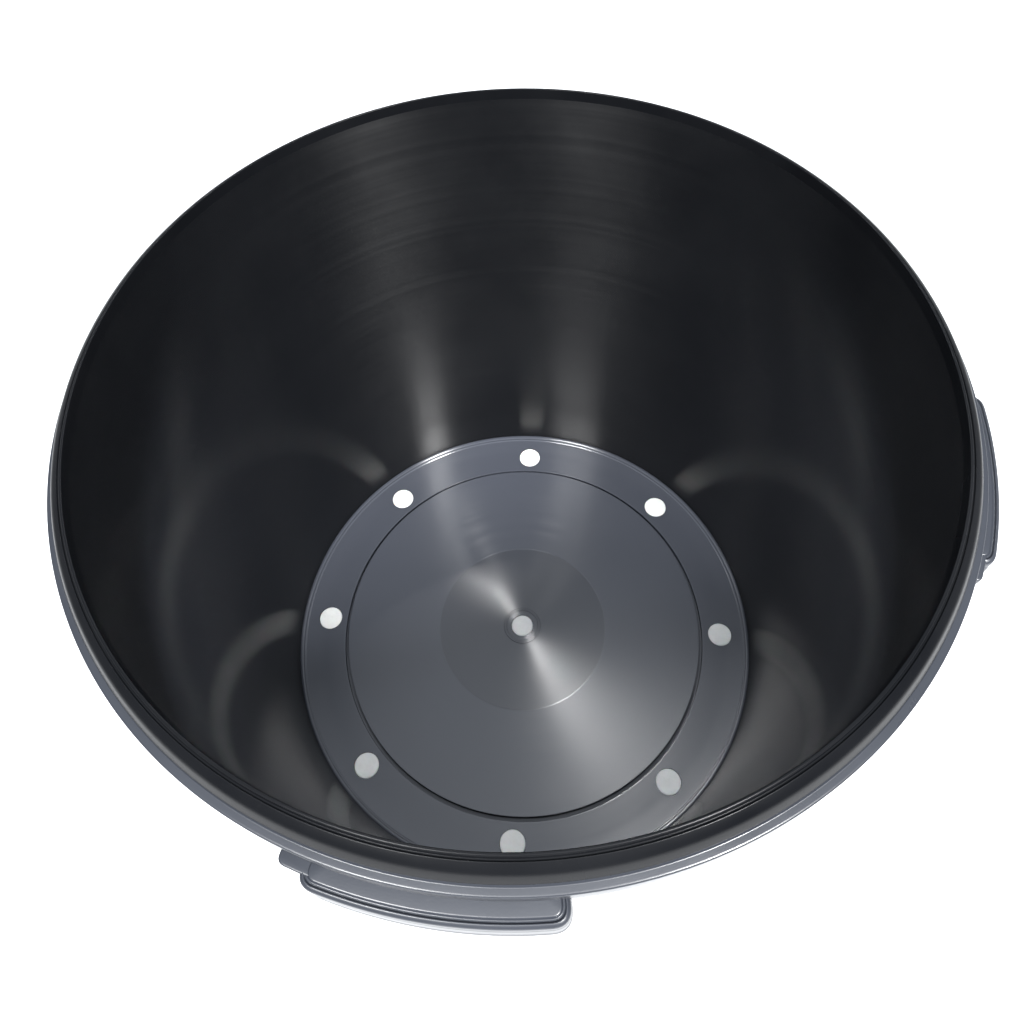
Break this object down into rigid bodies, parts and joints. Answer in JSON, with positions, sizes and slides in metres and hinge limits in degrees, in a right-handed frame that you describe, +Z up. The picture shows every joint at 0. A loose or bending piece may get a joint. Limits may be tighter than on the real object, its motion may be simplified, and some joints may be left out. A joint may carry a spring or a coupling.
{
  "type": "vibratory rock tumbler",
  "caption": "Open-topped vibratory rock tumbler: deep glossy black tub bolted to a sprung carrier plate, shaken by an unbalanced motor hanging inside a round vented base.",
  "frame": {"origin": "on the tumbler's vertical axis, at the level of the surface its feet stand on", "axes": "+Z up along the tub's axis; the switch faces -Y and the cable gland +Y"},
  "size_m": [0.2714, 0.2714, 0.3695],
  "materials": {
    "tub_black": "glossy injection-moulded black polypropylene",
    "nylon_white": "off-white nylon, softly dull",
    "rubber_black": "matt black rubber",
    "zinc_plate": "zinc-plated sheet steel",
    "steel_bright": "bright drawn steel",
    "motor_aluminium": "die-cast aluminium",
    "core_steel": "varnished laminated steel",
    "weight_iron": "machined cast iron",
    "base_black": "finely textured black plastic",
    "trim_black": "satin black moulded trim",
    "rocker_red": "glossy red plastic"
  },
  "bodies": {
    "base": {"base_shell": "base_black", "base_plate": "zinc_plate", "deck_ring": "zinc_plate", "foot_1": "rubber_black", "foot_2": "rubber_black", "foot_3": "rubber_black", "foot_4": "rubber_black", "foot_screw_1": "steel_bright", "foot_screw_2": "steel_bright", "foot_screw_3": "steel_bright", "foot_screw_4": "steel_bright", "deck_screw_1": "steel_bright", "deck_screw_2": "steel_bright", "deck_screw_3": "steel_bright", "deck_screw_4": "steel_bright", "spring_1": "steel_bright", "spring_2": "steel_bright", "spring_3": "steel_bright", "spring_4": "steel_bright", "switch_bezel": "trim_black", "cable_gland": "trim_black", "gland_nut": "trim_black"},
    "carrier": {"tub": "tub_black", "centre_bolt": "nylon_white", "ring_bolt_1": "nylon_white", "ring_bolt_2": "nylon_white", "ring_bolt_3": "nylon_white", "ring_bolt_4": "nylon_white", "ring_bolt_5": "nylon_white", "ring_bolt_6": "nylon_white", "ring_bolt_7": "nylon_white", "ring_bolt_8": "nylon_white", "ring_nut_1": "nylon_white", "ring_nut_2": "nylon_white", "ring_nut_3": "nylon_white", "ring_nut_4": "nylon_white", "ring_nut_5": "nylon_white", "ring_nut_6": "nylon_white", "ring_nut_7": "nylon_white", "ring_nut_8": "nylon_white", "centre_nut": "nylon_white", "seal_pad": "rubber_black", "carrier_plate": "zinc_plate", "motor_housing": "motor_aluminium", "motor_flange": "motor_aluminium", "motor_end_cap": "motor_aluminium", "stator_core": "core_steel", "upper_bearing": "steel_bright", "lower_bearing": "steel_bright", "motor_standoff_1": "steel_bright", "motor_standoff_2": "steel_bright", "motor_standoff_3": "steel_bright", "motor_standoff_4": "steel_bright"},
    "rotor": {"rotor_shaft": "steel_bright", "rotor_core": "core_steel", "upper_weight": "weight_iron", "lower_weight": "weight_iron", "upper_clamp_screw": "steel_bright", "lower_clamp_screw": "steel_bright"},
    "rocker": {"switch_rocker": "rocker_red"}
  },
  "joints": [
    {"name": "carrier_bounce", "type": "slide", "parent": "base", "child": "carrier", "axis": [0, 0, 1], "range_m": [-0.003, 0.003], "stiffness_N_per_m": 40000, "springref_m": 0.0012, "deforming": ["spring_1", "spring_2", "spring_3", "spring_4"]},
    {"name": "rotor_spin", "type": "hinge", "parent": "carrier", "child": "rotor", "pos_m": [0, 0, 0.074], "axis": [0, 0, 1], "continuous": true},
    {"name": "switch_rock", "type": "hinge", "parent": "base", "child": "rocker", "pos_m": [0, -0.11, 0.06], "axis": [1, 0, 0], "range_deg": [0, 12]}
  ]
}
